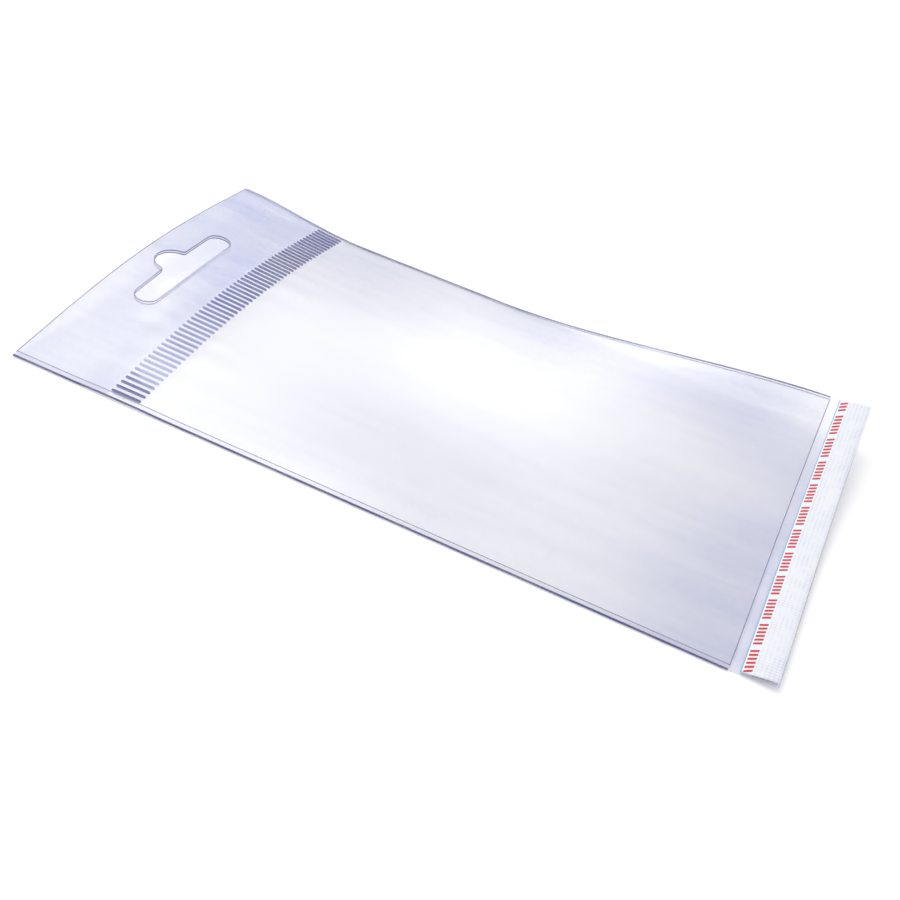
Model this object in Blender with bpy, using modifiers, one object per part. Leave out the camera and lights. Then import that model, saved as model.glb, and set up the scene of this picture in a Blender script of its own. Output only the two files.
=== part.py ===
"""Clear film header bag with a hang hole and a self-seal flap, lying flat and empty.

One web of film is folded over at the header's outer end, welded along both long edges and sealed across
by a ribbed bar under the header. The front wall stops at the mouth. The back wall runs on as the flap,
which carries a line of adhesive under a narrow release liner.

The bag is drawn flat first, in a sheet frame: s runs from the header's fold to the flap's edge, w runs
across from the near edge, and h is the height over the surface. Then every point goes through lay_down(),
which parts the two plies and gives the film its gentle curl. Metres, +Z up, origin under the middle.
"""

import math

import bmesh
import bpy
from mathutils import Vector

# Main sizes of the bag
BAG_WIDTH = 0.085
HEADER_HEIGHT = 0.0207
SEAL_HEIGHT = 0.0065
POUCH_LENGTH = 0.1152
FLAP_LENGTH = 0.0085

# Film: each ply, and the room between the plies as the web is folded. The pouch opens over the first
# share of its length (ramp) and is that much lower at the mouth (fall).
PLY = 0.00020
PLY_GAP = 0.00030
SEALED_GAP = 0.00004
HEADER_LOFT = 0.00035
POUCH_LOFT = 0.00110
LOFT_RAMP = 0.25
LOFT_FALL = 0.45

# Hot-knife welds along the long edges
WELD_WIDTH = 0.0012
WELD_BEAD = 0.00022
WELD_ROUNDING = 0.00018

# Ribs of the cross seal
RIB_COUNT = 56
RIB_WIDTH = 0.00066
RIB_RISE = 0.00012
RIB_CHAMFER = 0.00009
RIB_END_MARGIN = 0.0002

# Hang hole: a long slot with a rounded hump towards the fold
SLOT_LENGTH = 0.0320
SLOT_HEIGHT = 0.0052
SLOT_TO_SEAL = 0.0079
HUMP_RADIUS = 0.0040
HUMP_RISE = 0.0040
NOTCH_RADIUS = 0.0006
SLOT_FACETS = 8

# Release liner on the flap, and the adhesive under it. The liner's inner edge is dry, to be gripped.
LINER_FROM_MOUTH = 0.0018
LINER_TO_FLAP_EDGE = 0.0003
LINER_THICKNESS = 0.00012
LINER_DRY_EDGE = 0.0019
ADHESIVE_TO_LINER_EDGE = 0.0002
ADHESIVE_THICKNESS = 0.0001
STRIP_END_MARGIN = 0.0006
SEAT_GAP = 0.0003

# Curl of the film as it lies: lifts, and how far each reaches
ARCH_LIFT = 0.0040
ARCH_REACH = 0.115
CORNER_LIFT = 0.0033
CORNER_REACH = 0.030
TIP_LIFT = 0.0082
TIP_REACH = 0.084
TIP_START = 0.3
FLAP_LIFT = 0.0010

# Spacing of the cuts that let the flat mesh follow the curl
HEADER_STEP = 0.0028
POUCH_STEP = 0.0052
RIBS_PER_CELL = 4

# Places worked out from the sizes
SEAL_START = HEADER_HEIGHT
SEAL_END = SEAL_START + SEAL_HEIGHT
MOUTH = SEAL_END + POUCH_LENGTH
BAG_LENGTH = MOUTH + FLAP_LENGTH
BAG_THICKNESS = 2 * PLY + PLY_GAP
FOLD_RADIUS = BAG_THICKNESS / 2
RIB_PITCH = (BAG_WIDTH - 2 * WELD_WIDTH) / RIB_COUNT
SLOT_MIDDLE = SEAL_START - SLOT_TO_SEAL - SLOT_HEIGHT / 2


def clear_scene():
    for old in list(bpy.data.objects):
        bpy.data.objects.remove(old, do_unlink=True)


def new_collection(name):
    group = bpy.data.collections.new(name)
    bpy.context.scene.collection.children.link(group)
    return group


def plastic(name, colour, roughness, alpha):
    """A Principled BSDF in the piece's own colour."""
    made = bpy.data.materials.new(name)
    made.use_nodes = True
    shader = made.node_tree.nodes["Principled BSDF"]
    shader.inputs["Base Color"].default_value = (*colour, 1.0)
    shader.inputs["Roughness"].default_value = roughness
    shader.inputs["Metallic"].default_value = 0.0
    shader.inputs["Alpha"].default_value = alpha
    return made


def add_object(name, mesh, group, finish=None):
    made = bpy.data.objects.new(name, mesh)
    group.objects.link(made)
    if finish:
        mesh.materials.append(finish)
    return made


def mesh_of(work, name):
    """Turns a bmesh into a mesh with its faces pointing out."""
    bmesh.ops.recalc_face_normals(work, faces=work.faces)
    mesh = bpy.data.meshes.new(name)
    work.to_mesh(mesh)
    work.free()
    return mesh


def add_block(work, low, high):
    """One box from its lowest to its highest corner, added to a bmesh. Returns its vertices."""
    low, high = Vector(low), Vector(high)
    made = bmesh.ops.create_cube(work, size=1.0)["verts"]
    for vert in made:
        vert.co = Vector(low[i] + (vert.co[i] + 0.5) * (high[i] - low[i]) for i in range(3))
    return made


def ease(t):
    """0 to 1 with level ends."""
    t = min(max(t, 0.0), 1.0)
    return t * t * (3.0 - 2.0 * t)


def hump(t):
    """0 at both ends, 1 in the middle."""
    return math.sin(math.pi * min(max(t, 0.0), 1.0))


def folded_web():
    """The web's middle surface: along the back wall, round the fold and along the front wall."""
    bend = FOLD_RADIUS - PLY / 2
    profile = [(BAG_LENGTH, PLY / 2), (FOLD_RADIUS, PLY / 2)]
    for step in range(1, 6):
        angle = math.pi * step / 6
        profile.append((FOLD_RADIUS - bend * math.sin(angle), FOLD_RADIUS - bend * math.cos(angle)))
    profile += [(FOLD_RADIUS, BAG_THICKNESS - PLY / 2), (MOUTH, BAG_THICKNESS - PLY / 2)]
    work = bmesh.new()
    line = [work.verts.new((s, WELD_BEAD, h)) for s, h in profile]
    edges = [work.edges.new(pair) for pair in zip(line, line[1:])]
    moved = bmesh.ops.extrude_edge_only(work, edges=edges)["geom"]
    span = BAG_WIDTH - 2 * WELD_BEAD
    bmesh.ops.translate(work, vec=(0, span, 0), verts=[g for g in moved if isinstance(g, bmesh.types.BMVert)])
    return mesh_of(work, "web")


def edge_weld(side):
    """A hot-knife weld: it fills the room between the plies and stands out as a rounded bead."""
    inner = WELD_WIDTH if side < 0 else BAG_WIDTH - WELD_WIDTH
    outer = 0.0 if side < 0 else BAG_WIDTH
    bead = PLY / 2
    work = bmesh.new()
    low = (FOLD_RADIUS, min(inner, outer), bead)
    high = (MOUTH - PLY, max(inner, outer), BAG_THICKNESS - bead)
    block = add_block(work, low, high)
    rim = [e for e in work.edges if all(abs(v.co.y - outer) < PLY / 10 for v in e.verts)]
    bmesh.ops.bevel(work, geom=rim, offset=WELD_ROUNDING, segments=2, affect="EDGES", profile=0.5)
    return mesh_of(work, "weld")


def cross_seal():
    """The fused band between the plies under the header."""
    work = bmesh.new()
    low = (SEAL_START - RIB_END_MARGIN, WELD_BEAD * 2, PLY / 2)
    high = (SEAL_END + RIB_END_MARGIN, BAG_WIDTH - WELD_BEAD * 2, BAG_THICKNESS - PLY / 2)
    add_block(work, low, high)
    return mesh_of(work, "seal")


def seal_ribs():
    """The ribs that the knurled bar leaves on both faces of the seal, side by side across the bag."""
    work = bmesh.new()
    for index in range(RIB_COUNT):
        middle = WELD_WIDTH + (index + 0.5) * RIB_PITCH
        low = (SEAL_START, middle - RIB_WIDTH / 2, -RIB_RISE)
        high = (SEAL_END, middle + RIB_WIDTH / 2, BAG_THICKNESS + RIB_RISE)
        add_block(work, low, high)
    crests = [e for e in work.edges if abs(e.verts[0].co.z - e.verts[1].co.z) < PLY / 10]
    bmesh.ops.bevel(work, geom=crests, offset=RIB_CHAMFER, segments=1, affect="EDGES")
    return mesh_of(work, "ribs")


def arc(middle, radius, start, end, facets):
    """Points round an arc, in degrees, both ends included."""
    turns = [math.radians(start + (end - start) * i / facets) for i in range(facets + 1)]
    return [(middle[0] + radius * math.cos(a), middle[1] + radius * math.sin(a)) for a in turns]


def slot_outline():
    """The hang hole as (across, towards the fold) points about the slot's middle."""
    end = SLOT_HEIGHT / 2
    straight = SLOT_LENGTH / 2 - end
    hump_middle = (0.0, end + HUMP_RISE - HUMP_RADIUS)
    # The fillet at each side of the hump touches the slot's edge and the hump's circle
    drop = end + NOTCH_RADIUS - hump_middle[1]
    reach = math.sqrt((HUMP_RADIUS + NOTCH_RADIUS) ** 2 - drop**2)
    lean = math.degrees(math.atan2(drop, reach))
    right = arc((straight, 0.0), end, -90, 90, SLOT_FACETS)
    right_fillet = arc((reach, end + NOTCH_RADIUS), NOTCH_RADIUS, 270, 180 + lean, SLOT_FACETS // 2)
    crown = arc(hump_middle, HUMP_RADIUS, lean, 180 - lean, SLOT_FACETS + 2)
    left_fillet = arc((-reach, end + NOTCH_RADIUS), NOTCH_RADIUS, -lean, -90, SLOT_FACETS // 2)
    left = arc((-straight, 0.0), end, 90, 270, SLOT_FACETS)
    return right + right_fillet + crown[1:-1] + left_fillet + left


def slot_punch():
    """The punch for the hang hole: the outline as a filled 2D curve, made a closed mesh."""
    outline = slot_outline()
    drawing = bpy.data.curves.new("slot", "CURVE")
    drawing.dimensions = "2D"
    drawing.fill_mode = "BOTH"
    drawing.extrude = BAG_THICKNESS * 2
    line = drawing.splines.new("POLY")
    line.points.add(len(outline) - 1)
    for point, (across, out) in zip(line.points, outline):
        point.co = (SLOT_MIDDLE - out, BAG_WIDTH / 2 + across, 0.0, 1.0)
    line.use_cyclic_u = True
    holder = bpy.data.objects.new("slot_drawing", drawing)
    bpy.context.scene.collection.objects.link(holder)
    bpy.context.view_layer.update()
    ready = holder.evaluated_get(bpy.context.evaluated_depsgraph_get())
    flat = bpy.data.meshes.new_from_object(ready)
    bpy.data.objects.remove(holder, do_unlink=True)
    work = bmesh.new()
    work.from_mesh(flat)
    bmesh.ops.remove_doubles(work, verts=work.verts, dist=1e-6)
    bmesh.ops.translate(work, vec=(0, 0, BAG_THICKNESS / 2), verts=work.verts)
    return mesh_of(work, "slot_punch")


def joined(base, tools, operation):
    """The base object's mesh after one Boolean with each tool in turn."""
    for tool in tools:
        step = base.modifiers.new(tool.name, "BOOLEAN")
        step.operation = operation
        step.object = tool
        step.solver = "EXACT"
    bpy.context.view_layer.update()
    ready = base.evaluated_get(bpy.context.evaluated_depsgraph_get())
    mesh = bpy.data.meshes.new_from_object(ready)
    base.modifiers.clear()
    return mesh


def steps_between(start, end, step):
    """Places from start to end, both included, no further apart than step."""
    count = max(1, math.ceil((end - start) / step - 1e-9))
    return [start + (end - start) * i / count for i in range(count + 1)]


def cut_lines():
    """Where the flat mesh is cut so that it can follow the curl: places along s and places along w."""
    clear = RIB_END_MARGIN * 2
    along = steps_between(FOLD_RADIUS * 2, SEAL_START - clear, HEADER_STEP)
    along += steps_between(SEAL_END + clear, MOUTH - WELD_WIDTH, POUCH_STEP)
    along += steps_between(MOUTH + WELD_WIDTH, BAG_LENGTH, HEADER_STEP)[:-1]
    cells = RIB_COUNT // RIBS_PER_CELL
    across = [WELD_WIDTH + RIB_PITCH * RIBS_PER_CELL * i for i in range(cells + 1)]
    return along, across


def gap_between_plies(s, w):
    """Room between the plies: closed at the seal and the welds, loose in the header, fullest in the pouch."""
    across = hump((w - WELD_WIDTH) / (BAG_WIDTH - 2 * WELD_WIDTH)) ** 0.5
    if s < SEAL_START:
        return SEALED_GAP + HEADER_LOFT * across * hump(s / SEAL_START) ** 0.5
    if s <= SEAL_END:
        return SEALED_GAP
    t = (s - SEAL_END) / POUCH_LENGTH
    along = ease(t / LOFT_RAMP) * (1.0 - LOFT_FALL * ease(t))
    return SEALED_GAP + POUCH_LOFT * across * along


def curl(s, w):
    """Height of the back ply's underside over the surface: the header arches and its far corner lifts,
    the flap's far corner turns up, and the flap's edge lifts a little. It is level in between."""
    v = w / BAG_WIDTH
    arch = ARCH_LIFT * hump(v) * ease(1.0 - s / ARCH_REACH)
    corner = CORNER_LIFT * v * v * ease(1.0 - s / CORNER_REACH)
    far = max((v - TIP_START) / (1.0 - TIP_START), 0.0)
    tip = TIP_LIFT * far**2 * ease(1.0 - (BAG_LENGTH - s) / TIP_REACH)
    flap = FLAP_LIFT * ease((s - MOUTH) / FLAP_LENGTH)
    pressed = RIB_RISE * ease(1.0 - max(SEAL_START - s, s - SEAL_END, 0.0) / SEAL_HEIGHT)
    return arch + corner + tip + flap + pressed


def lay_down(point):
    """Moves a point of the flat bag to where it lies."""
    s, w, h = point
    room = gap_between_plies(s, w)
    if h > PLY + PLY_GAP:
        h += room - PLY_GAP
    elif h > PLY and s < MOUTH:
        h = PLY + (h - PLY) * room / PLY_GAP
    return Vector((s - BAG_LENGTH / 2, w - BAG_WIDTH / 2, h + curl(s, w)))


def finish_mesh(mesh, name, place):
    """Cuts a flat mesh along the cut lines, makes it triangles, and moves each point to its place."""
    work = bmesh.new()
    work.from_mesh(mesh)
    bmesh.ops.remove_doubles(work, verts=work.verts, dist=2e-6)
    along, across = cut_lines()
    for axis, places in (((1, 0, 0), along), ((0, 1, 0), across)):
        for at in places:
            whole = work.verts[:] + work.edges[:] + work.faces[:]
            bmesh.ops.bisect_plane(work, geom=whole, dist=1e-6, plane_co=Vector(axis) * at, plane_no=axis)
    bmesh.ops.triangulate(work, faces=work.faces, quad_method="BEAUTY", ngon_method="BEAUTY")
    for vert in work.verts:
        vert.co = place(vert.co)
    return mesh_of(work, name)


def build_film(parts, cutters, finish):
    web = add_object("web", folded_web(), cutters)
    wall = web.modifiers.new("ply", "SOLIDIFY")
    wall.thickness = PLY
    wall.offset = 0.0
    wall.use_even_offset = True
    fused = [add_object(f"weld_{side}", edge_weld(side), cutters) for side in (-1, 1)]
    fused.append(add_object("seal", cross_seal(), cutters))
    fused.append(add_object("ribs", seal_ribs(), cutters))
    flat = joined(web, fused, "UNION")
    bag = add_object("flat_bag", flat, cutters)
    punch = add_object("slot_punch", slot_punch(), cutters)
    punched = joined(bag, [punch], "DIFFERENCE")
    for tool in (web, bag, punch, *fused):
        tool.hide_render = True
        tool.display_type = "WIRE"
    mesh = finish_mesh(punched, "bag_film", lay_down)
    return add_object("bag_film", mesh, parts, finish)


def strip_on_flap(name, parts, finish, start, end, over_flap, thickness):
    """A thin straight strip across the flap, following the film under it."""
    work = bmesh.new()
    low = (start, STRIP_END_MARGIN, PLY + over_flap)
    high = (end, BAG_WIDTH - STRIP_END_MARGIN, PLY + over_flap + thickness)
    add_block(work, low, high)
    flat = mesh_of(work, name)
    mesh = finish_mesh(flat, name, lay_down)
    bpy.data.meshes.remove(flat)
    return add_object(name, mesh, parts, finish)


def main():
    clear_scene()
    parts = new_collection("self_seal_bag")
    cutters = new_collection("cutters")
    clear_film = plastic("clear_film", (0.80, 0.82, 0.92), 0.12, 0.45)
    tacky = plastic("clear_adhesive", (0.86, 0.87, 0.90), 0.35, 0.7)
    printed = plastic("printed_liner", (0.93, 0.90, 0.92), 0.4, 1.0)
    build_film(parts, cutters, clear_film)
    start = MOUTH + LINER_FROM_MOUTH
    end = BAG_LENGTH - LINER_TO_FLAP_EDGE
    tacky_start = start + LINER_DRY_EDGE
    tacky_end = end - ADHESIVE_TO_LINER_EDGE
    strip_on_flap("adhesive_strip", parts, tacky, tacky_start, tacky_end, SEAT_GAP, ADHESIVE_THICKNESS)
    over_adhesive = 2 * SEAT_GAP + ADHESIVE_THICKNESS
    strip_on_flap("release_liner", parts, printed, start, end, over_adhesive, LINER_THICKNESS)


main()
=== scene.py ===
import math

import bmesh
import bpy
from mathutils import Matrix, Vector


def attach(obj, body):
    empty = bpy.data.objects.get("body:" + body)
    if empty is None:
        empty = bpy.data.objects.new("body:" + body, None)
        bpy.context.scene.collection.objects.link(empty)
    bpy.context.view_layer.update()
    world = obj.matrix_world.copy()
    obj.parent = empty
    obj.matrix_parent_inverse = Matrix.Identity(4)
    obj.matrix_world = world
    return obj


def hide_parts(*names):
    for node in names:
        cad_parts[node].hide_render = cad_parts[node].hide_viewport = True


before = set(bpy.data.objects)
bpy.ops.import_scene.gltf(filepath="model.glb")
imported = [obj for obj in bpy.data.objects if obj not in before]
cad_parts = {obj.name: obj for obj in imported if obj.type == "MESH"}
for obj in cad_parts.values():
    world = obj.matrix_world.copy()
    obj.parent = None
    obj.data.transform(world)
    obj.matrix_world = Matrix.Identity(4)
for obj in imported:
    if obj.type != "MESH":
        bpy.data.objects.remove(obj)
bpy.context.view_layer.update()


# Film web: one sheet of clear, cool-tinted polypropylene. It is folded over at the header's outer end, so that
# it makes the back wall, the header and the front wall, and the back wall runs on as the flap. The hang hole is
# punched through both plies. It lies loose, with the header arched and the flap's far corner lifted.

BAG_WIDTH = 0.085
HEADER_HEIGHT = 0.0207
SEAL_HEIGHT = 0.0065
POUCH_LENGTH = 0.1152
FLAP_LENGTH = 0.0085
SEAL_START = HEADER_HEIGHT
SEAL_END = SEAL_START + SEAL_HEIGHT
MOUTH = SEAL_END + POUCH_LENGTH
BAG_LENGTH = MOUTH + FLAP_LENGTH

PLY = 0.00020
PLY_GAP = 0.00030
FILM_STACK = 2 * PLY + PLY_GAP
FOLD_RADIUS = FILM_STACK / 2
SEALED_GAP = 0.00004
HEADER_LOFT = 0.00035
POUCH_LOFT = 0.00105
WELD_WIDTH = 0.0012
FILM_INSET = 0.00015
RIB_RISE = 0.00012

SLOT_LENGTH = 0.0320
SLOT_HEIGHT = 0.0052
SLOT_MIDDLE = 0.0102
HUMP_RADIUS = 0.0040
HUMP_RISE = 0.0040
NOTCH_RADIUS = 0.0006

ARCH_LIFT = 0.0040
ARCH_REACH = 0.115
CORNER_LIFT = 0.0033
CORNER_REACH = 0.030
TIP_LIFT = 0.0082
TIP_REACH = 0.084
TIP_START = 0.3
FLAP_LIFT = 0.0010
LOFT_RAMP = 0.25
LOFT_FALL = 0.45
PUCKER_HEIGHT = 0.00009
PUCKER_REACH = 0.014
PUCKER_START = 0.0015

FILM_CELL = 0.0013
CUT_EDGE_STRIP = 0.00022


def ease(t):
    """0 to 1 with level ends."""
    t = min(max(t, 0.0), 1.0)
    return t * t * (3.0 - 2.0 * t)


def hump(t):
    """0 at both ends, 1 in the middle."""
    return math.sin(math.pi * min(max(t, 0.0), 1.0))


def room_between_plies(s, w):
    """Room between the plies at s from the fold and w from the near edge, with the pouch's soft billows."""
    across = hump((w - WELD_WIDTH) / (BAG_WIDTH - 2 * WELD_WIDTH)) ** 0.5
    if s < SEAL_START:
        return SEALED_GAP + HEADER_LOFT * across * hump(s / SEAL_START) ** 0.5
    if s <= SEAL_END:
        return SEALED_GAP
    t = (s - SEAL_END) / POUCH_LENGTH
    billow = 0.74 + 0.16 * math.sin(95.0 * s - 38.0 * w + 0.6) + 0.10 * math.sin(61.0 * s + 118.0 * w)
    return SEALED_GAP + POUCH_LOFT * across * billow * ease(t / LOFT_RAMP) * (1.0 - LOFT_FALL * ease(t))


def curl(s, w):
    """Height of the film's underside over the surface."""
    v = w / BAG_WIDTH
    from_seal = max(SEAL_START - s, s - SEAL_END, 0.0)
    arch = ARCH_LIFT * hump(v) * ease(1.0 - s / ARCH_REACH)
    corner = CORNER_LIFT * v * v * ease(1.0 - s / CORNER_REACH)
    far = max((v - TIP_START) / (1.0 - TIP_START), 0.0)
    tip = TIP_LIFT * far**2 * ease(1.0 - (BAG_LENGTH - s) / TIP_REACH)
    flap = FLAP_LIFT * ease((s - MOUTH) / FLAP_LENGTH)
    pressed = RIB_RISE * ease(1.0 - from_seal / SEAL_HEIGHT)
    beside_seal = ease(1.0 - from_seal / PUCKER_REACH) * ease(from_seal / PUCKER_START)
    waves = 1.0 + math.sin(1150.0 * w + 2.5 * math.sin(190.0 * w))
    pucker = PUCKER_HEIGHT * waves * hump(v) * beside_seal
    return arch + corner + tip + flap + pressed + pucker


def lay_down(point):
    """Moves a point of the flat bag, (from the fold, from the near edge, up), to where it lies."""
    s, w, h = point
    room = room_between_plies(s, w)
    if h > PLY + PLY_GAP:
        h += room - PLY_GAP
    elif h > PLY and s < MOUTH:
        h = PLY + (h - PLY) * room / PLY_GAP
    return Vector((s - BAG_LENGTH / 2, w - BAG_WIDTH / 2, h + curl(s, w)))


def arc(middle, radius, start, end, facets):
    """Points round an arc, in degrees, both ends included."""
    turns = [math.radians(start + (end - start) * i / facets) for i in range(facets + 1)]
    return [(middle[0] + radius * math.cos(a), middle[1] + radius * math.sin(a)) for a in turns]


def prism(outline, axis, low, high):
    """A closed solid: a flat outline of (a, b) points drawn out from low to high along w or up."""
    work = bmesh.new()
    if axis == "w":
        ends = [[work.verts.new((a, at, b)) for a, b in outline] for at in (low, high)]
    else:
        ends = [[work.verts.new((a, b, at)) for a, b in outline] for at in (low, high)]
    count = len(outline)
    for i in range(count):
        j = (i + 1) % count
        work.faces.new((ends[0][i], ends[0][j], ends[1][j], ends[1][i]))
    work.faces.new(ends[0][::-1])
    work.faces.new(ends[1])
    bmesh.ops.recalc_face_normals(work, faces=work.faces)
    mesh = bpy.data.meshes.new("prism")
    work.to_mesh(mesh)
    work.free()
    return mesh


def shown(name, mesh):
    made = bpy.data.objects.new(name, mesh)
    bpy.context.scene.collection.objects.link(made)
    return made


def web_section():
    """The folded web's section as (from the fold, up) points, once round."""
    outer = [(FOLD_RADIUS - FOLD_RADIUS * math.sin(a), FOLD_RADIUS - FOLD_RADIUS * math.cos(a))
             for a in (math.pi * i / 10 for i in range(11))]
    bend = FOLD_RADIUS - PLY
    inner = [(FOLD_RADIUS - bend * math.sin(a), FOLD_RADIUS - bend * math.cos(a))
             for a in (math.pi * i / 8 for i in range(8, -1, -1))]
    lip = [(MOUTH, FILM_STACK), (MOUTH, FILM_STACK - PLY)]
    return [(BAG_LENGTH, 0.0)] + outer + lip + inner + [(BAG_LENGTH, PLY)]


def slot_outline():
    """The hang hole as (from the fold, from the near edge) points: a long slot with a hump towards the fold."""
    end = SLOT_HEIGHT / 2
    straight = SLOT_LENGTH / 2 - end
    crown_middle = (0.0, end + HUMP_RISE - HUMP_RADIUS)
    drop = end + NOTCH_RADIUS - crown_middle[1]
    reach = math.sqrt((HUMP_RADIUS + NOTCH_RADIUS) ** 2 - drop**2)
    lean = math.degrees(math.atan2(drop, reach))
    half = arc((straight, 0.0), end, -90, 90, 18)
    half += arc((reach, end + NOTCH_RADIUS), NOTCH_RADIUS, 270, 180 + lean, 6)
    half += arc(crown_middle, HUMP_RADIUS, lean, 90, 14)[1:]
    whole = half + [(-x, y) for x, y in reversed(half[:-1])]
    return [(SLOT_MIDDLE - out, BAG_WIDTH / 2 + across) for across, out in whole]


def cut_and_lay(mesh, along, across, edge_rule):
    """Cuts a flat mesh on lines along and across the bag, marks its cut edges, and lays it down."""
    work = bmesh.new()
    work.from_mesh(mesh)
    bmesh.ops.remove_doubles(work, verts=work.verts, dist=2e-6)
    for axis, places in (((1, 0, 0), along), ((0, 1, 0), across)):
        for at in places:
            whole = work.verts[:] + work.edges[:] + work.faces[:]
            bmesh.ops.bisect_plane(work, geom=whole, dist=1e-6, plane_co=Vector(axis) * at, plane_no=axis)
    bmesh.ops.triangulate(work, faces=work.faces, quad_method="BEAUTY", ngon_method="BEAUTY")
    work.normal_update()
    for face in work.faces:
        face.smooth = True
        face.material_index = edge_rule(face.calc_center_median(), face.normal)
    for vert in work.verts:
        vert.co = lay_down(vert.co)
    laid = bpy.data.meshes.new(mesh.name)
    work.to_mesh(laid)
    work.free()
    laid.set_sharp_from_angle(angle=math.radians(42))
    return laid


def even_steps(start, end, step):
    count = max(1, round((end - start) / step))
    return [start + (end - start) * i / count for i in range(count + 1)]


def is_cut_edge(middle, normal):
    """1 on the film's cut edges and its fold, 0 on its walls."""
    if abs(normal.z) < 0.7:
        return 1
    if middle.z > PLY + PLY_GAP / 2 and middle.x > MOUTH - CUT_EDGE_STRIP:
        return 1
    return 1 if middle.x > BAG_LENGTH - CUT_EDGE_STRIP else 0


def node_maker(made):
    """A short way to add a node to a material and set its sockets: a number, a colour or another output."""
    tree = made.node_tree

    def add(kind, settings=None, **sockets):
        node = tree.nodes.new(kind)
        for key, value in (settings or {}).items():
            setattr(node, key, value)
        for key, value in sockets.items():
            spot = int(key[1:]) if key[0] == "i" and key[1:].isdigit() else key.replace("_", " ")
            if isinstance(value, bpy.types.NodeSocket):
                tree.links.new(value, node.inputs[spot])
            else:
                node.inputs[spot].default_value = value
        return node

    return add


def bare_material(name):
    made = bpy.data.materials.new(name)
    made.use_nodes = True
    made.node_tree.nodes.clear()
    return made, node_maker(made)


def band(add, value, start, end, soft):
    """1 between start and end of a coordinate, fading over soft at each side."""
    up = add("ShaderNodeMapRange", {"interpolation_type": "SMOOTHSTEP"}, Value=value,
             From_Min=start - soft, From_Max=start + soft)
    down = add("ShaderNodeMapRange", {"interpolation_type": "SMOOTHSTEP"}, Value=value,
               From_Min=end - soft, From_Max=end + soft, To_Min=1.0, To_Max=0.0)
    return add("ShaderNodeMath", {"operation": "MULTIPLY"}, i0=up.outputs[0], i1=down.outputs[0]).outputs[0]


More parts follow.
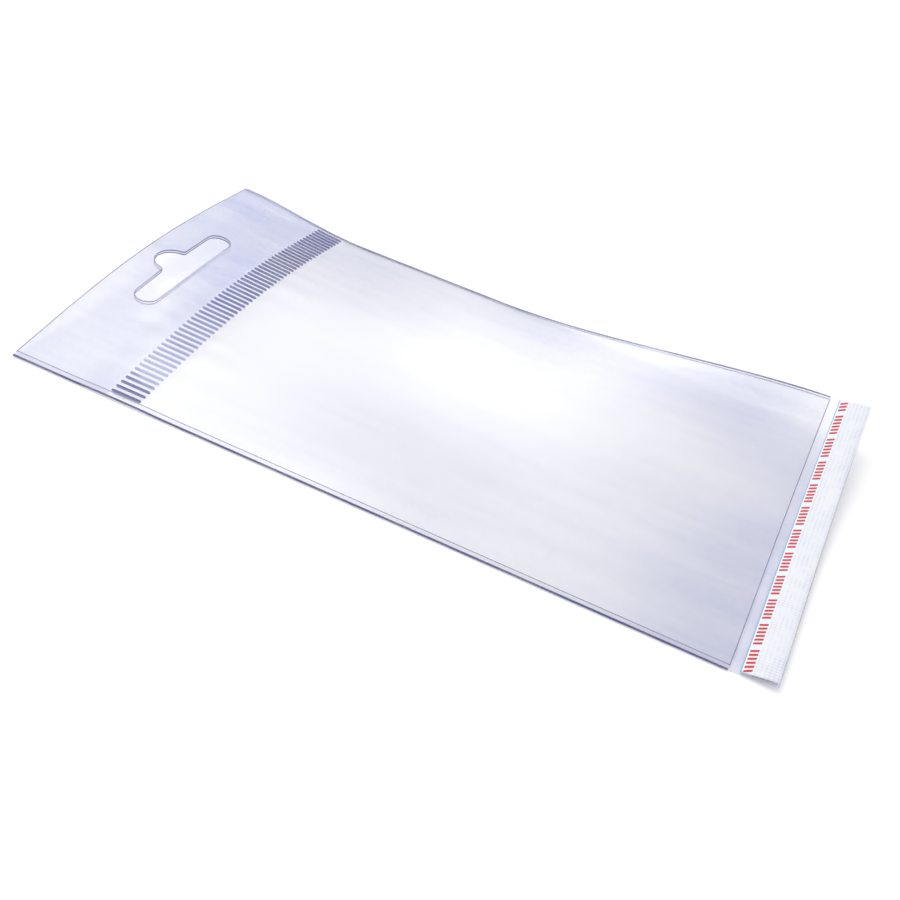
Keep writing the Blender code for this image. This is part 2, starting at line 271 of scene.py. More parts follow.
def clear_film():
    """Clear film with a cool tint: a thin haze that drifts over the sheet, with painted shade along its far
    side and painted highlight in its clouds, and a soft gloss.
    """
    made, add = bare_material("clear_film")
    place = add("ShaderNodeTexCoord").outputs["Object"]
    split = add("ShaderNodeSeparateXYZ", Vector=place)
    long_axis = split.outputs["X"]
    # Noise for the haze's clouds, which are partly painted highlight
    haze_sheen_noise = add("ShaderNodeTexNoise", Vector=place, Scale=21.0, Detail=1.0, Roughness=0.4)
    stretched = add("ShaderNodeMapping", Vector=place, Scale=(22.0, 190.0, 40.0))
    streaks = add("ShaderNodeTexNoise", Vector=stretched.outputs[0], Scale=1.0, Detail=2.0, Roughness=0.6)
    # The haze of each face: more in the header and at its far corner, towards the mouth's corners and on the
    # flap's single ply, and little where the seal has fused the film. The extra tint along the far side,
    # deepest at the flap's far corner, is painted shade
    wide_axis = split.outputs["Y"]
    rise = add("ShaderNodeMapRange", {"interpolation_type": "SMOOTHSTEP"}, Value=long_axis,
               From_Min=-0.050, From_Max=0.070, To_Min=0.036, To_Max=0.047)
    header = add("ShaderNodeMapRange", {"interpolation_type": "SMOOTHSTEP"}, Value=long_axis,
                 From_Min=-0.056, From_Max=-0.052, To_Min=0.145, To_Max=0.0)
    for start, end, low, high in ((-0.038, -0.006, 0.95, 1.30), (0.002, 0.030, 1.0, 0.60)):
        level = add("ShaderNodeMapRange", {"interpolation_type": "SMOOTHSTEP"}, Value=wide_axis,
                    From_Min=start, From_Max=end, To_Min=low, To_Max=high)
        header = add("ShaderNodeMath", {"operation": "MULTIPLY"}, i0=header.outputs[0], i1=level.outputs[0])
    towards_near = add("ShaderNodeMapRange", {"interpolation_type": "SMOOTHSTEP"}, Value=wide_axis,
                       From_Min=-0.042, From_Max=0.030, To_Min=1.0, To_Max=0.25)
    towards_mouth = add("ShaderNodeMapRange", {"interpolation_type": "SMOOTHSTEP"}, Value=long_axis,
                        From_Min=0.030, From_Max=0.068, To_Min=0.0, To_Max=0.060)
    corner = add("ShaderNodeMath", {"operation": "MULTIPLY"}, i0=towards_near.outputs[0],
                 i1=towards_mouth.outputs[0])
    flap = add("ShaderNodeMapRange", Value=long_axis, From_Min=MOUTH - BAG_LENGTH / 2,
               From_Max=MOUTH - BAG_LENGTH / 2 + 0.0002, To_Min=0.0, To_Max=0.055)
    # More tint towards the header's far corner, strongest at the fold
    header_far_across = add("ShaderNodeMapRange", {"interpolation_type": "SMOOTHSTEP"}, Value=wide_axis,
                        From_Min=0.026, From_Max=0.041, To_Min=0.0, To_Max=0.055)
    header_far_along = add("ShaderNodeMapRange", {"interpolation_type": "SMOOTHSTEP"}, Value=long_axis,
                       From_Min=-0.072, From_Max=-0.056, To_Min=1.0, To_Max=0.2)
    header_far_end = add("ShaderNodeMapRange", {"interpolation_type": "SMOOTHSTEP"}, Value=long_axis,
                     From_Min=-0.056, From_Max=-0.053, To_Min=1.0, To_Max=0.0)
    header_far_tint = add("ShaderNodeMath", {"operation": "MULTIPLY"}, i0=header_far_across.outputs[0],
                 i1=header_far_along.outputs[0])
    header_far_tint = add("ShaderNodeMath", {"operation": "MULTIPLY"}, i0=header_far_tint.outputs[0], i1=header_far_end.outputs[0])
    # Painted shade: extra tint along the far side, growing towards the flap and deepest at its far corner
    far_shade_across = add("ShaderNodeMapRange", {"interpolation_type": "SMOOTHSTEP"}, Value=wide_axis,
                      From_Min=0.008, From_Max=0.040, To_Min=0.0, To_Max=1.0)
    far_shade_along = add("ShaderNodeMapRange", {"interpolation_type": "SMOOTHSTEP"}, Value=long_axis,
                       From_Min=-0.048, From_Max=0.062, To_Min=0.036, To_Max=0.062)
    far_side_painted_shade = add("ShaderNodeMath", {"operation": "MULTIPLY"}, i0=far_shade_across.outputs[0],
                     i1=far_shade_along.outputs[0])
    drift = rise
    for part in (header, corner, flap, header_far_tint, far_side_painted_shade):
        drift = add("ShaderNodeMath", {"operation": "ADD"}, i0=drift.outputs[0], i1=part.outputs[0])
    # Clouds in the haze: partly the film's uneven haze, partly painted highlight, where thinner haze stands in
    # for soft reflections of the lamps
    haze_and_sheen_clouds = add("ShaderNodeMapRange", Value=haze_sheen_noise.outputs["Fac"], From_Min=0.35, From_Max=0.65,
                 To_Min=0.55, To_Max=1.45)
    streaky = add("ShaderNodeMapRange", Value=streaks.outputs["Fac"], From_Min=0.3, From_Max=0.7,
                  To_Min=0.80, To_Max=1.20)
    haze = add("ShaderNodeMath", {"operation": "MULTIPLY"}, i0=drift.outputs[0], i1=haze_and_sheen_clouds.outputs[0])
    haze = add("ShaderNodeMath", {"operation": "MULTIPLY"}, i0=haze.outputs[0], i1=streaky.outputs[0])
    fused = band(add, long_axis, SEAL_START - BAG_LENGTH / 2, SEAL_END - BAG_LENGTH / 2, 0.0006)
    clearing = add("ShaderNodeMapRange", Value=fused, To_Min=1.0, To_Max=0.35)
    haze = add("ShaderNodeMath", {"operation": "MULTIPLY"}, i0=haze.outputs[0], i1=clearing.outputs[0])
    ripple = add("ShaderNodeTexNoise", Vector=place, Scale=45.0, Detail=0.0)
    bump = add("ShaderNodeBump", Height=ripple.outputs["Fac"], Strength=0.3, Distance=0.0005)
    body = add("ShaderNodeBsdfPrincipled", Base_Color=(0.45, 0.48, 0.73, 1.0), Roughness=0.45,
               Normal=bump.outputs[0])
    clear = add("ShaderNodeBsdfTransparent", Color=(0.986, 0.986, 0.984, 1.0))
    tinted = add("ShaderNodeMixShader", Fac=haze.outputs[0], i1=clear.outputs[0], i2=body.outputs[0])
    gloss = add("ShaderNodeBsdfGlossy", Color=(1.0, 1.0, 1.0, 1.0), Roughness=0.30, Normal=bump.outputs[0])
    away = add("ShaderNodeLayerWeight", Blend=0.5, Normal=bump.outputs[0]).outputs["Facing"]
    grazing = add("ShaderNodeMath", {"operation": "POWER"}, i0=away, i1=5.0)
    mirror = add("ShaderNodeMath", {"operation": "MULTIPLY_ADD"}, i0=grazing.outputs[0], i1=0.6, i2=0.04)
    film = add("ShaderNodeMixShader", Fac=mirror.outputs[0], i1=tinted.outputs[0], i2=gloss.outputs[0])
    # Film this thin dims the light that falls through it only a little and evenly
    shade = add("ShaderNodeBsdfTransparent", Color=(0.90, 0.90, 0.94, 1.0))
    shadow = add("ShaderNodeLightPath").outputs["Is Shadow Ray"]
    whole = add("ShaderNodeMixShader", Fac=shadow, i1=film.outputs[0], i2=shade.outputs[0])
    add("ShaderNodeOutputMaterial", Surface=whole.outputs[0])
    return made


def film_edge():
    """The film seen through its cut edge or along its fold, where the tint gathers to a violet line."""
    made, add = bare_material("film_edge")
    place = add("ShaderNodeTexCoord").outputs["Object"]
    mottle = add("ShaderNodeTexNoise", Vector=place, Scale=160.0, Detail=2.0)
    depth = add("ShaderNodeMapRange", Value=mottle.outputs["Fac"], From_Min=0.35, From_Max=0.65,
                To_Min=0.50, To_Max=0.85)
    body = add("ShaderNodeBsdfPrincipled", Base_Color=(0.075, 0.085, 0.28, 1.0), Roughness=0.3)
    clear = add("ShaderNodeBsdfTransparent", Color=(1.0, 1.0, 1.0, 1.0))
    whole = add("ShaderNodeMixShader", Fac=depth.outputs[0], i1=clear.outputs[0], i2=body.outputs[0])
    add("ShaderNodeOutputMaterial", Surface=whole.outputs[0])
    return made


CLEAR_FILM = clear_film()
FILM_EDGE = film_edge()

web = shown("web_flat", prism(web_section(), "w", FILM_INSET, BAG_WIDTH - FILM_INSET))
fused_low, fused_high = PLY / 2, FILM_STACK - PLY / 2
fused_band = shown("fused_band", prism(
    [(SEAL_START, fused_low), (SEAL_END, fused_low), (SEAL_END, fused_high), (SEAL_START, fused_high)],
    "w", 2 * FILM_INSET, BAG_WIDTH - 2 * FILM_INSET))
punch = shown("punch", prism(slot_outline(), "up", -FILM_STACK, 2 * FILM_STACK))
for tool, action in ((fused_band, "UNION"), (punch, "DIFFERENCE")):
    step = web.modifiers.new(tool.name, "BOOLEAN")
    step.operation = action
    step.object = tool
    step.solver = "EXACT"
bpy.context.view_layer.update()
punched = bpy.data.meshes.new_from_object(web.evaluated_get(bpy.context.evaluated_depsgraph_get()))
punched.name = "film_walls"
for flat in (web, fused_band, punch):
    bpy.data.objects.remove(flat, do_unlink=True)

film_lines = even_steps(2 * FOLD_RADIUS, SEAL_START, FILM_CELL)
film_lines += even_steps(SEAL_START, SEAL_END, FILM_CELL)[1:]
film_lines += even_steps(SEAL_END, MOUTH - CUT_EDGE_STRIP, FILM_CELL)[1:]
film_lines += even_steps(MOUTH + CUT_EDGE_STRIP, BAG_LENGTH - CUT_EDGE_STRIP, FILM_CELL)
film_rows = even_steps(FILM_INSET, BAG_WIDTH - FILM_INSET, FILM_CELL)[1:-1]
film_walls = shown("film_walls", cut_and_lay(punched, film_lines, film_rows, is_cut_edge))
film_walls.data.materials.clear()
film_walls.data.materials.append(CLEAR_FILM)
film_walls.data.materials.append(FILM_EDGE)
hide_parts("bag_film")
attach(film_walls, "root")


# Side welds: a hot knife parts and fuses both plies along each long edge, from the fold to the mouth. The film
# draws back into a fine rounded bead, which holds more tint than the walls. A fainter line inside it marks
# where the plies part.

BEAD_WIDTH = 0.00030
BEAD_HEIGHT = 0.00046
INNER_LINE_WIDTH = 0.00014
INNER_LINE_HEIGHT = 0.00008


def thread_tree():
    """Geometry Nodes: a line of points drawn out to a rod with an oval section and closed ends."""
    tree = bpy.data.node_groups.new("weld_thread", "GeometryNodeTree")
    tree.interface.new_socket("Path", in_out="INPUT", socket_type="NodeSocketGeometry")
    for label in ("Width", "Height"):
        tree.interface.new_socket(label, in_out="INPUT", socket_type="NodeSocketFloat")
    tree.interface.new_socket("Finish", in_out="INPUT", socket_type="NodeSocketMaterial")
    tree.interface.new_socket("Rod", in_out="OUTPUT", socket_type="NodeSocketGeometry")
    nodes, link = tree.nodes, tree.links.new
    given, result = nodes.new("NodeGroupInput"), nodes.new("NodeGroupOutput")
    path = nodes.new("GeometryNodeMeshToCurve")
    link(given.outputs["Path"], path.inputs["Mesh"])
    ring = nodes.new("GeometryNodeCurvePrimitiveCircle")
    ring.inputs["Resolution"].default_value = 10
    ring.inputs["Radius"].default_value = 0.5
    size = nodes.new("ShaderNodeCombineXYZ")
    link(given.outputs["Height"], size.inputs["X"])
    link(given.outputs["Width"], size.inputs["Y"])
    size.inputs["Z"].default_value = 1.0
    oval = nodes.new("GeometryNodeTransform")
    link(ring.outputs["Curve"], oval.inputs["Geometry"])
    link(size.outputs[0], oval.inputs["Scale"])
    rod = nodes.new("GeometryNodeCurveToMesh")
    rod.inputs["Fill Caps"].default_value = True
    link(path.outputs["Curve"], rod.inputs["Curve"])
    link(oval.outputs["Geometry"], rod.inputs["Profile Curve"])
    real = nodes.new("GeometryNodeRealizeInstances")
    finish = nodes.new("GeometryNodeSetMaterial")
    link(rod.outputs["Mesh"], real.inputs["Geometry"])
    link(real.outputs["Geometry"], finish.inputs["Geometry"])
    link(given.outputs["Finish"], finish.inputs["Material"])
    link(finish.outputs["Geometry"], result.inputs["Rod"])
    return tree


def grown(holder, tree, values):
    """The plain mesh that a node tree makes on an object, its inputs set by their identifiers."""
    grower = holder.modifiers.new(tree.name, "NODES")
    grower.node_group = tree
    for item in tree.interface.items_tree:
        if item.in_out == "INPUT" and item.name in values:
            grower[item.identifier] = values[item.name]
    bpy.context.view_layer.update()
    mesh = bpy.data.meshes.new_from_object(holder.evaluated_get(bpy.context.evaluated_depsgraph_get()))
    holder.modifiers.remove(grower)
    return mesh


def pointing_out(mesh, place=None):
    """The mesh with its faces pointing out and shaded smooth, each point moved by place."""
    work = bmesh.new()
    work.from_mesh(mesh)
    bmesh.ops.remove_doubles(work, verts=work.verts, dist=1e-7)
    bmesh.ops.recalc_face_normals(work, faces=work.faces)
    for face in work.faces:
        face.smooth = True
    if place:
        for vert in work.verts:
            vert.co = place(vert.co)
    work.to_mesh(mesh)
    work.free()
    return mesh


def film_middle(s, w):
    """A point halfway up the closed bag."""
    return lay_down((s, w, 0.0)) + Vector((0.0, 0.0, PLY + room_between_plies(s, w) / 2))


THREAD_TREE = thread_tree()
bead_steps = even_steps(FOLD_RADIUS * 0.6, MOUTH - PLY, 0.0024)
for side, w, inner in (("near", BEAD_WIDTH / 2, WELD_WIDTH),
                       ("far", BAG_WIDTH - BEAD_WIDTH / 2, BAG_WIDTH - WELD_WIDTH)):
    for name, row, width, height, raised in (
            (f"weld_bead_{side}", w, BEAD_WIDTH, BEAD_HEIGHT, 0.0),
            (f"weld_line_{side}", inner, INNER_LINE_WIDTH, INNER_LINE_HEIGHT, PLY)):
        points = [film_middle(s, row) + Vector((0, 0, raised)) for s in bead_steps]
        line = bpy.data.meshes.new(name)
        line.from_pydata(points, [(i, i + 1) for i in range(len(points) - 1)], [])
        holder = shown(name, line)
        rod = grown(holder, THREAD_TREE, {"Width": width, "Height": height, "Finish": FILM_EDGE})
        holder.data = pointing_out(rod)
        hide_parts("bag_film")
        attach(holder, "root")


# Punched rim: the punch leaves a fine rolled edge round the hang hole, in the upper and the lower ply, and the
# front wall's cut lip at the mouth has the same fine edge. The creased fold at the header's top shows like it.

RIM_WIDTH = 0.00022
RIM_HEIGHT = 0.00014

slot_rim = slot_outline()
rim_rows = even_steps(WELD_WIDTH, BAG_WIDTH - WELD_WIDTH, 0.0024)
for name, course, level, closed in (
        ("slot_rim_upper", slot_rim, PLY + PLY_GAP + PLY / 2, True),
        ("slot_rim_lower", slot_rim, PLY / 2, True),
        ("mouth_rim", [(MOUTH - RIM_WIDTH / 2, w) for w in rim_rows], PLY + PLY_GAP + PLY / 2, False),
        ("header_crease", [(RIM_WIDTH / 2, w) for w in rim_rows], FOLD_RADIUS, False)):
    points = [lay_down((s, w, level)) for s, w in course]
    ties = [(i, i + 1) for i in range(len(points) - 1)] + ([(len(points) - 1, 0)] if closed else [])
    line = bpy.data.meshes.new(name)
    line.from_pydata(points, ties, [])
    holder = shown(name, line)
    rod = grown(holder, THREAD_TREE, {"Width": RIM_WIDTH, "Height": RIM_HEIGHT, "Finish": FILM_EDGE})
    holder.data = pointing_out(rod)
    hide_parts("bag_film")
    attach(holder, "root")


# Seal ribs: a knurled bar presses the header's cross seal between both plies. Each of its teeth leaves a long
# rounded rib in the fused film, on both faces, with clear film between the ribs.

RIB_COUNT = 56
RIB_WIDTH = 0.00054
RIB_PROUD = 0.00006
RIB_PITCH = (BAG_WIDTH - 2 * WELD_WIDTH) / RIB_COUNT


def rib_tree():
    """Geometry Nodes: a row of flattened rods with rounded ends, one after another across the bag."""
    tree = bpy.data.node_groups.new("seal_ribs", "GeometryNodeTree")
    tree.interface.new_socket("Start", in_out="INPUT", socket_type="NodeSocketGeometry")
    tree.interface.new_socket("Count", in_out="INPUT", socket_type="NodeSocketInt")
    for label in ("Pitch", "First", "Length", "Width", "Height"):
        tree.interface.new_socket(label, in_out="INPUT", socket_type="NodeSocketFloat")
    tree.interface.new_socket("Finish", in_out="INPUT", socket_type="NodeSocketMaterial")
    tree.interface.new_socket("Ribs", in_out="OUTPUT", socket_type="NodeSocketGeometry")
    nodes, link = tree.nodes, tree.links.new
    given, result = nodes.new("NodeGroupInput"), nodes.new("NodeGroupOutput")

    def calc(action, one, two=None):
        node = nodes.new("ShaderNodeMath")
        node.operation = action
        for spot, value in enumerate((one, two)):
            if isinstance(value, bpy.types.NodeSocket):
                link(value, node.inputs[spot])
            elif value is not None:
                node.inputs[spot].default_value = value
        return node.outputs[0]

    def vector(x=0.0, y=0.0, z=0.0):
        node = nodes.new("ShaderNodeCombineXYZ")
        for spot, value in enumerate((x, y, z)):
            if isinstance(value, bpy.types.NodeSocket):
                link(value, node.inputs[spot])
            else:
                node.inputs[spot].default_value = value
        return node.outputs[0]

    row = nodes.new("GeometryNodeMeshLine")
    link(given.outputs["Count"], row.inputs["Count"])
    link(vector(y=given.outputs["First"]), row.inputs["Start Location"])
    link(vector(y=given.outputs["Pitch"]), row.inputs["Offset"])
    spine = nodes.new("GeometryNodeCurvePrimitiveLine")
    half = calc("MULTIPLY", given.outputs["Length"], 0.5)
    link(vector(x=calc("MULTIPLY", half, -1.0)), spine.inputs["Start"])
    link(vector(x=half), spine.inputs["End"])
    finer = nodes.new("GeometryNodeResampleCurve")
    finer.inputs["Count"].default_value = 30
    link(spine.outputs["Curve"], finer.inputs["Curve"])
    place = nodes.new("GeometryNodeSplineParameter")
    from_middle = calc("ABSOLUTE", calc("SUBTRACT", calc("MULTIPLY", place.outputs["Factor"], 2.0), 1.0))
    rounding = calc("SQRT", calc("SUBTRACT", 1.02, calc("POWER", from_middle, 22.0)))
    radius = nodes.new("GeometryNodeSetCurveRadius")
    link(finer.outputs["Curve"], radius.inputs["Curve"])
    link(rounding, radius.inputs["Radius"])
    ring = nodes.new("GeometryNodeCurvePrimitiveCircle")
    ring.inputs["Resolution"].default_value = 10
    link(calc("MULTIPLY", given.outputs["Width"], 0.5), ring.inputs["Radius"])
    rod = nodes.new("GeometryNodeCurveToMesh")
    rod.inputs["Fill Caps"].default_value = True
    link(radius.outputs["Curve"], rod.inputs["Curve"])
    link(ring.outputs["Curve"], rod.inputs["Profile Curve"])
    if "Scale" in rod.inputs:
        link(rounding, rod.inputs["Scale"])
    flat = nodes.new("GeometryNodeTransform")
    link(rod.outputs["Mesh"], flat.inputs["Geometry"])
    flattening = calc("DIVIDE", given.outputs["Height"], given.outputs["Width"])
    link(vector(1.0, 1.0, flattening), flat.inputs["Scale"])
    spread = nodes.new("GeometryNodeInstanceOnPoints")
    link(row.outputs["Mesh"], spread.inputs["Points"])
    link(flat.outputs["Geometry"], spread.inputs["Instance"])
    real = nodes.new("GeometryNodeRealizeInstances")
    finish = nodes.new("GeometryNodeSetMaterial")
    link(spread.outputs["Instances"], real.inputs["Geometry"])
    link(real.outputs["Geometry"], finish.inputs["Geometry"])
    link(given.outputs["Finish"], finish.inputs["Material"])
    link(finish.outputs["Geometry"], result.inputs["Ribs"])
    return tree


def rib_plastic():
    """Fused film in the ribs: violet, deepest in the middle of the bag and pale towards the near edge."""
    made, add = bare_material("rib_plastic")
    place = add("ShaderNodeTexCoord").outputs["Object"]
    split = add("ShaderNodeSeparateXYZ", Vector=place)
    mottle = add("ShaderNodeTexNoise", Vector=place, Scale=120.0, Detail=2.0)
    shift = add("ShaderNodeMath", {"operation": "MULTIPLY_ADD"}, i0=mottle.outputs["Fac"], i1=0.016,
                i2=split.outputs["Y"])
    ramp = add("ShaderNodeValToRGB", Fac=add("ShaderNodeMapRange", Value=shift.outputs[0],
               From_Min=-0.0345, From_Max=0.0505).outputs[0])
    stops = ramp.color_ramp.elements
    stops[0].position, stops[0].color = 0.0, (0.035, 0.045, 0.27, 1.0)
    stops[1].position, stops[1].color = 1.0, (0.10, 0.12, 0.40, 1.0)
    for spot, colour in ((0.05, (0.12, 0.14, 0.46, 1.0)), (0.09, (0.60, 0.63, 0.90, 1.0)),
                         (0.22, (0.50, 0.53, 0.84, 1.0)), (0.45, (0.15, 0.17, 0.50, 1.0)),
                         (0.70, (0.055, 0.068, 0.31, 1.0))):
        stops.new(spot).color = colour
    body = add("ShaderNodeBsdfPrincipled", Base_Color=ramp.outputs["Color"], Roughness=0.3)
    clear = add("ShaderNodeBsdfTransparent", Color=(1.0, 1.0, 1.0, 1.0))
    depth = add("ShaderNodeMapRange", Value=mottle.outputs["Fac"], From_Min=0.35, From_Max=0.65,
                To_Min=0.62, To_Max=0.82)
    whole = add("ShaderNodeMixShader", Fac=depth.outputs[0], i1=clear.outputs[0], i2=body.outputs[0])
    add("ShaderNodeOutputMaterial", Surface=whole.outputs[0])
    return made


def on_seal(point):
    """Moves a rib's point, drawn about the seal's middle line, to the fused film."""
    s, w = point.x + (SEAL_START + SEAL_END) / 2, point.y
    return film_middle(s, w) + Vector((0.0, 0.0, point.z))


rib_holder = shown("seal_ribs", bpy.data.meshes.new("seal_ribs"))
rib_mesh = grown(rib_holder, rib_tree(), {
    "Count": RIB_COUNT, "Pitch": RIB_PITCH, "First": WELD_WIDTH + RIB_PITCH / 2, "Length": SEAL_HEIGHT,
    "Width": RIB_WIDTH, "Height": 2 * (PLY + RIB_PROUD) + SEALED_GAP, "Finish": rib_plastic()})
rib_holder.data = pointing_out(rib_mesh, on_seal)
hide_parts("bag_film")
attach(rib_holder, "root")


# Adhesive: a coated line of clear pressure-sensitive adhesive across the inside of the flap. It stops short of
# the liner's inner edge, so that the liner can be gripped.

LINER_FROM_MOUTH = 0.0018
LINER_TO_FLAP_EDGE = 0.0003
LINER_DRY_EDGE = 0.0019
STRIP_END_MARGIN = 0.0006
ADHESIVE_LOW = PLY + 0.00004
ADHESIVE_HIGH = PLY + 0.00030
liner_start = MOUTH + LINER_FROM_MOUTH
liner_end = BAG_LENGTH - LINER_TO_FLAP_EDGE


def strip_across(name, start, end, low, high, rounding):
    """A thin strip across the flap with rounded edges, laid on the film."""
    mesh = prism([(start, low), (end, low), (end, high), (start, high)], "w",
                 STRIP_END_MARGIN, BAG_WIDTH - STRIP_END_MARGIN)
    mesh.name = name
    work = bmesh.new()
    work.from_mesh(mesh)
    rims = [e for e in work.edges if all(abs(v.co.z - high) < 1e-7 for v in e.verts)]
    bmesh.ops.bevel(work, geom=rims, offset=rounding, segments=2, affect="EDGES", profile=0.5)
    work.to_mesh(mesh)
    work.free()
    lines = even_steps(start, end, 0.0011)[1:-1]
    rows = even_steps(STRIP_END_MARGIN, BAG_WIDTH - STRIP_END_MARGIN, 0.0011)[1:-1]
    laid = cut_and_lay(mesh, lines, rows, lambda middle, normal: 0)
    laid.materials.clear()
    return shown(name, laid)


def clear_adhesive():
    """Tacky clear adhesive with the faint streaks of the coater."""
    made, add = bare_material("clear_adhesive")
    place = add("ShaderNodeTexCoord").outputs["Object"]
    drawn = add("ShaderNodeMapping", Vector=place, Scale=(900.0, 60.0, 100.0))
    streaks = add("ShaderNodeTexNoise", Vector=drawn.outputs[0], Scale=1.0, Detail=3.0)
    bump = add("ShaderNodeBump", Height=streaks.outputs["Fac"], Strength=0.3, Distance=0.00005)
    depth = add("ShaderNodeMapRange", Value=streaks.outputs["Fac"], From_Min=0.3, From_Max=0.7,
                To_Min=0.25, To_Max=0.45)
    body = add("ShaderNodeBsdfPrincipled", Base_Color=(0.72, 0.74, 0.80, 1.0), Roughness=0.3,
               Normal=bump.outputs[0])
    clear = add("ShaderNodeBsdfTransparent", Color=(1.0, 1.0, 1.0, 1.0))
    whole = add("ShaderNodeMixShader", Fac=depth.outputs[0], i1=clear.outputs[0], i2=body.outputs[0])
    add("ShaderNodeOutputMaterial", Surface=whole.outputs[0])
    return made


adhesive = strip_across("adhesive_line", liner_start + LINER_DRY_EDGE, liner_end - 0.0002,
                        ADHESIVE_LOW, ADHESIVE_HIGH, 0.00008)
adhesive.data.materials.append(clear_adhesive())
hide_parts("adhesive_strip")
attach(adhesive, "root")


# Release liner: a strip of siliconed film, laid over the adhesive and pulled off before the bag is closed. Its
# dry inner edge is printed with a pale band, and the rest is embossed with a fine square grid.

LINER_LOW = PLY + 0.00034
LINER_HIGH = PLY + 0.00062
PRINT_BAND = 0.0021


def liner_film():
    """Milky siliconed film: pale printed band along the inner edge, fine embossed grid on the rest."""
    made, add = bare_material("liner_film")
    place = add("ShaderNodeTexCoord").outputs["Object"]
    split = add("ShaderNodeSeparateXYZ", Vector=place)
    x, y = split.outputs["X"], split.outputs["Y"]
    first = liner_start - BAG_LENGTH / 2
    printed = band(add, x, first - 0.001, first + PRINT_BAND, 0.00006)
    grid = None
    for coordinate, pitch in ((x, 0.00078), (y, 0.00072)):
        cell = add("ShaderNodeMath", {"operation": "PINGPONG"}, i0=coordinate, i1=pitch / 2)
        line = add("ShaderNodeMapRange", {"interpolation_type": "SMOOTHSTEP"}, Value=cell.outputs[0],
                   From_Min=pitch * 0.06, From_Max=pitch * 0.24, To_Min=1.0, To_Max=0.0)
        grid = line.outputs[0] if grid is None else add(
            "ShaderNodeMath", {"operation": "MAXIMUM"}, i0=grid, i1=line.outputs[0]).outputs[0]
    wear = add("ShaderNodeTexNoise", Vector=place, Scale=210.0, Detail=4.0, Roughness=0.6)
    patch = add("ShaderNodeMapRange", Value=wear.outputs["Fac"], From_Min=0.38, From_Max=0.62)
    lines = add("ShaderNodeMath", {"operation": "MULTIPLY"}, i0=grid, i1=patch.outputs[0])
    milky = add("ShaderNodeMix", {"data_type": "RGBA"}, i0=lines.outputs[0],
                i6=(0.91, 0.925, 0.98, 1.0), i7=(0.74, 0.77, 0.89, 1.0))
    colour = add("ShaderNodeMix", {"data_type": "RGBA"}, i0=printed, i6=milky.outputs[2],
                 i7=(0.80, 0.91, 0.95, 1.0))
    inner_edge = band(add, x, first - 0.001, first + 0.00016, 0.00002)
    colour = add("ShaderNodeMix", {"data_type": "RGBA"}, i0=inner_edge, i6=colour.outputs[2],
                 i7=(0.22, 0.46, 0.72, 1.0))
    bump = add("ShaderNodeBump", Height=lines.outputs[0], Strength=0.4, Distance=0.00004)
    bump.invert = True
    body = add("ShaderNodeBsdfPrincipled", Base_Color=colour.outputs[2], Roughness=0.35, Normal=bump.outputs[0])
    clear = add("ShaderNodeBsdfTransparent", Color=(1.0, 1.0, 1.0, 1.0))
    depth = add("ShaderNodeMapRange", Value=printed, To_Min=0.86, To_Max=0.94)
    whole = add("ShaderNodeMixShader", Fac=depth.outputs[0], i1=clear.outputs[0], i2=body.outputs[0])
    add("ShaderNodeOutputMaterial", Surface=whole.outputs[0])
    return made


liner = strip_across("release_liner_strip", liner_start, liner_end, LINER_LOW, LINER_HIGH, 0.00006)
liner.data.materials.append(liner_film())
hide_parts("release_liner")
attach(liner, "root")


# Red marks: groups of plain slanted bars, printed in one row along the liner's pale band.

MARK_GROUP_PITCH = 0.0073
MARK_BARS = 6
MARK_BAR_PITCH = 0.00104
MARK_BAR_WIDTH = 0.00056
MARK_HEIGHT = 0.00142
MARK_SLANT = 0.00034
MARK_FILM = 0.00003


def mark_tree():
    """Geometry Nodes: groups of slanted bars in one row."""
    tree = bpy.data.node_groups.new("liner_marks", "GeometryNodeTree")
    tree.interface.new_socket("Start", in_out="INPUT", socket_type="NodeSocketGeometry")
    for label in ("Groups", "Bars"):
        tree.interface.new_socket(label, in_out="INPUT", socket_type="NodeSocketInt")
    for label in ("Group Pitch", "Bar Pitch", "First"):
        tree.interface.new_socket(label, in_out="INPUT", socket_type="NodeSocketFloat")
    tree.interface.new_socket("Bar Size", in_out="INPUT", socket_type="NodeSocketVector")
    tree.interface.new_socket("Finish", in_out="INPUT", socket_type="NodeSocketMaterial")
    tree.interface.new_socket("Marks", in_out="OUTPUT", socket_type="NodeSocketGeometry")
    nodes, link = tree.nodes, tree.links.new
    given, result = nodes.new("NodeGroupInput"), nodes.new("NodeGroupOutput")

    def row(count, pitch, first=None):
        line = nodes.new("GeometryNodeMeshLine")
        link(given.outputs[count], line.inputs["Count"])
        offset = nodes.new("ShaderNodeCombineXYZ")
        link(given.outputs[pitch], offset.inputs["Y"])
        link(offset.outputs[0], line.inputs["Offset"])
        if first:
            start = nodes.new("ShaderNodeCombineXYZ")
            link(given.outputs[first], start.inputs["Y"])
            link(start.outputs[0], line.inputs["Start Location"])
        return line.outputs["Mesh"]

    def spread(points, instance):
        node = nodes.new("GeometryNodeInstanceOnPoints")
        link(points, node.inputs["Points"])
        link(instance, node.inputs["Instance"])
        return node.outputs["Instances"]

    bar = nodes.new("GeometryNodeMeshCube")
    link(given.outputs["Bar Size"], bar.inputs["Size"])
    bar.inputs["Vertices X"].default_value = 5
    group = spread(row("Bars", "Bar Pitch"), bar.outputs["Mesh"])
    marks = spread(row("Groups", "Group Pitch", "First"), group)
    real = nodes.new("GeometryNodeRealizeInstances")
    finish = nodes.new("GeometryNodeSetMaterial")
    link(marks, real.inputs["Geometry"])
    link(real.outputs["Geometry"], finish.inputs["Geometry"])
    link(given.outputs["Finish"], finish.inputs["Material"])
    link(finish.outputs["Geometry"], result.inputs["Marks"])
    return tree


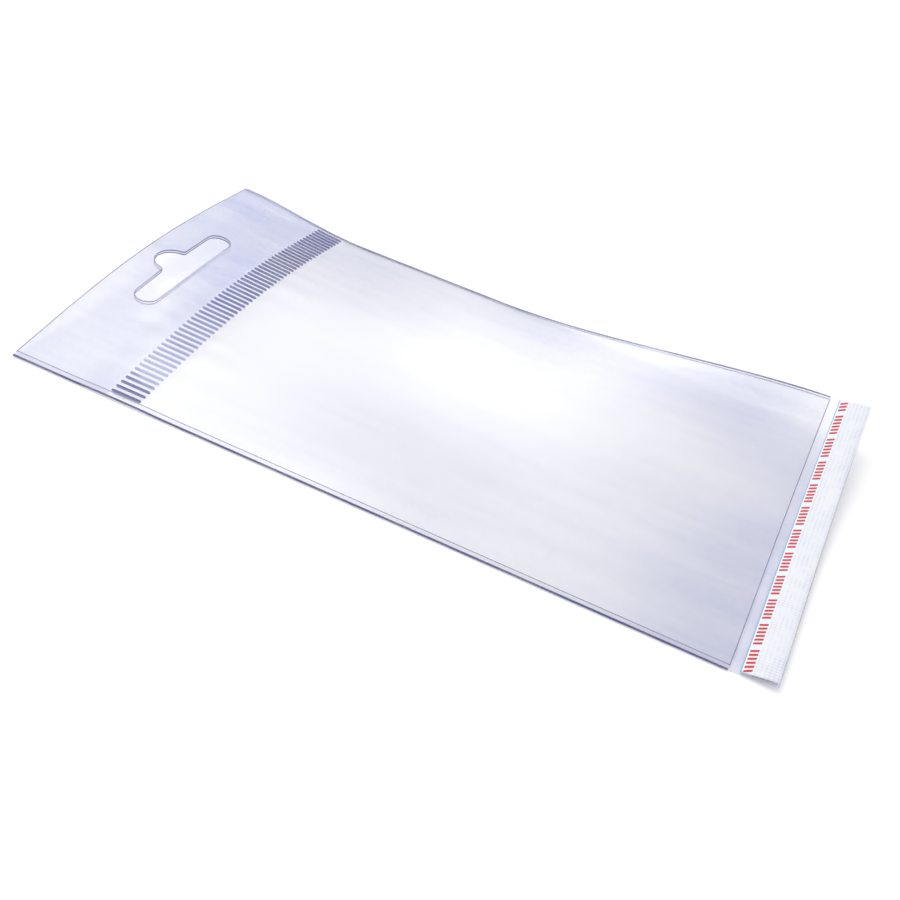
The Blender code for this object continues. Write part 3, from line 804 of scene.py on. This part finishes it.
def red_ink():
    """Red printing ink, a little uneven."""
    made, add = bare_material("red_ink")
    place = add("ShaderNodeTexCoord").outputs["Object"]
    grain = add("ShaderNodeTexNoise", Vector=place, Scale=1400.0, Detail=3.0)
    colour = add("ShaderNodeMix", {"data_type": "RGBA"}, i0=grain.outputs["Fac"],
                 i6=(0.52, 0.008, 0.022, 1.0), i7=(0.74, 0.022, 0.05, 1.0))
    body = add("ShaderNodeBsdfPrincipled", Base_Color=colour.outputs[2], Roughness=0.5)
    add("ShaderNodeOutputMaterial", Surface=body.outputs[0])
    return made


def on_liner(point):
    """Leans a mark's point and moves it on to the liner's printed band."""
    w = point.y + MARK_SLANT * point.x / MARK_HEIGHT * 2
    w = min(max(w, STRIP_END_MARGIN), BAG_WIDTH - STRIP_END_MARGIN)
    s = liner_start + PRINT_BAND * 0.52 + point.x
    return lay_down((s, w, LINER_HIGH + MARK_FILM / 2 + point.z))


mark_holder = shown("liner_marks", bpy.data.meshes.new("liner_marks"))
mark_mesh = grown(mark_holder, mark_tree(), {
    "Groups": 12, "Bars": MARK_BARS, "Group Pitch": MARK_GROUP_PITCH, "Bar Pitch": MARK_BAR_PITCH,
    "First": STRIP_END_MARGIN + 0.0005, "Bar Size": (MARK_HEIGHT, MARK_BAR_WIDTH, MARK_FILM),
    "Finish": red_ink()})
work = bmesh.new()
work.from_mesh(mark_mesh)
beyond = [v for v in work.verts if v.co.y > BAG_WIDTH - STRIP_END_MARGIN - 0.0004]
bmesh.ops.delete(work, geom=list({v for b in beyond for f in b.link_faces for v in f.verts}), context="VERTS")
work.to_mesh(mark_mesh)
work.free()
mark_holder.data = pointing_out(mark_mesh, on_liner)
for face in mark_holder.data.polygons:
    face.use_smooth = False
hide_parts("release_liner")
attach(mark_holder, "root")


# Studio: a white table, soft light from all round, two soft boxes behind the bag that show in the film, and the
# camera at the photograph's height and lean.

TABLE_HALF = 6
TABLE_TOP = -0.00005

floor_mesh = bpy.data.meshes.new("floor")
table_corners = [(TABLE_HALF * x, TABLE_HALF * y, TABLE_TOP) for x, y in ((-1, -1), (1, -1), (1, 1), (-1, 1))]
floor_mesh.from_pydata(table_corners, [], [(0, 1, 2, 3)])
floor = shown("floor", floor_mesh)
paper, add = bare_material("white_table")
lit = add("ShaderNodeBsdfDiffuse", Color=(0.82, 0.82, 0.83, 1.0))
glow = add("ShaderNodeEmission", Color=(1.0, 1.0, 1.0, 1.0), Strength=0.24)
seen = add("ShaderNodeLightPath")
direct = add("ShaderNodeMath", {"operation": "MAXIMUM"}, i0=seen.outputs["Is Camera Ray"],
             i1=seen.outputs["Is Glossy Ray"])
direct = add("ShaderNodeMath", {"operation": "MAXIMUM"}, i0=direct.outputs[0],
             i1=seen.outputs["Is Transmission Ray"])
bright = add("ShaderNodeAddShader", i0=lit.outputs[0], i1=glow.outputs[0])
table = add("ShaderNodeMixShader", Fac=direct.outputs[0], i1=lit.outputs[0], i2=bright.outputs[0])
add("ShaderNodeOutputMaterial", Surface=table.outputs[0])
floor_mesh.materials.append(paper)

room = bpy.data.worlds.new("room")
room.use_nodes = True
room.node_tree.nodes.clear()
add = node_maker(room)
seen = add("ShaderNodeLightPath")
direct = add("ShaderNodeMath", {"operation": "MAXIMUM"}, i0=seen.outputs["Is Camera Ray"],
             i1=seen.outputs["Is Glossy Ray"])
level = add("ShaderNodeMapRange", Value=direct.outputs[0], To_Min=0.78, To_Max=1.0)
sky = add("ShaderNodeBackground", Color=(1.0, 1.0, 1.0, 1.0), Strength=level.outputs[0])
add("ShaderNodeOutputWorld", Surface=sky.outputs[0])
bpy.context.scene.world = room


def soft_box(name, place, aim, width, height, power):
    lamp = bpy.data.lights.new(name, "AREA")
    lamp.shape = "RECTANGLE"
    lamp.size, lamp.size_y, lamp.energy = width, height, power
    holder = shown(name, lamp)
    look = (Vector(aim) - Vector(place)).to_track_quat("-Z", "Y")
    holder.matrix_world = Matrix.Translation(place) @ look.to_matrix().to_4x4()


soft_box("key_light", (-0.35, 0.25, 0.85), (0.0, 0.0, 0.0), 0.6, 0.6, 3.2)
soft_box("sheen_light", (-0.185, 0.47, 0.35), (-0.02, 0.0, 0.0), 0.20, 0.14, 0.15)
soft_box("window_light", (-0.06, 0.46, 0.29), (0.02, 0.01, 0.0), 0.12, 0.08, 0.10)

camera = bpy.data.cameras.new("camera")
camera.sensor_width = 36.0
camera.lens = 1324.6 / 900 * 36.0
camera.clip_start = 0.01
eye = shown("camera", camera)
right, up, back = (0.89978, 0.39075, 0.19417), (-0.38091, 0.48637, 0.78635), (0.21283, -0.78151, 0.58647)
eye.matrix_world = Matrix([(right[i], up[i], back[i], p) for i, p in enumerate((0.05826, -0.21340, 0.14793))]
                          + [(0.0, 0.0, 0.0, 1.0)])
bpy.context.scene.camera = eye
bpy.context.scene.view_settings.view_transform = "Standard"
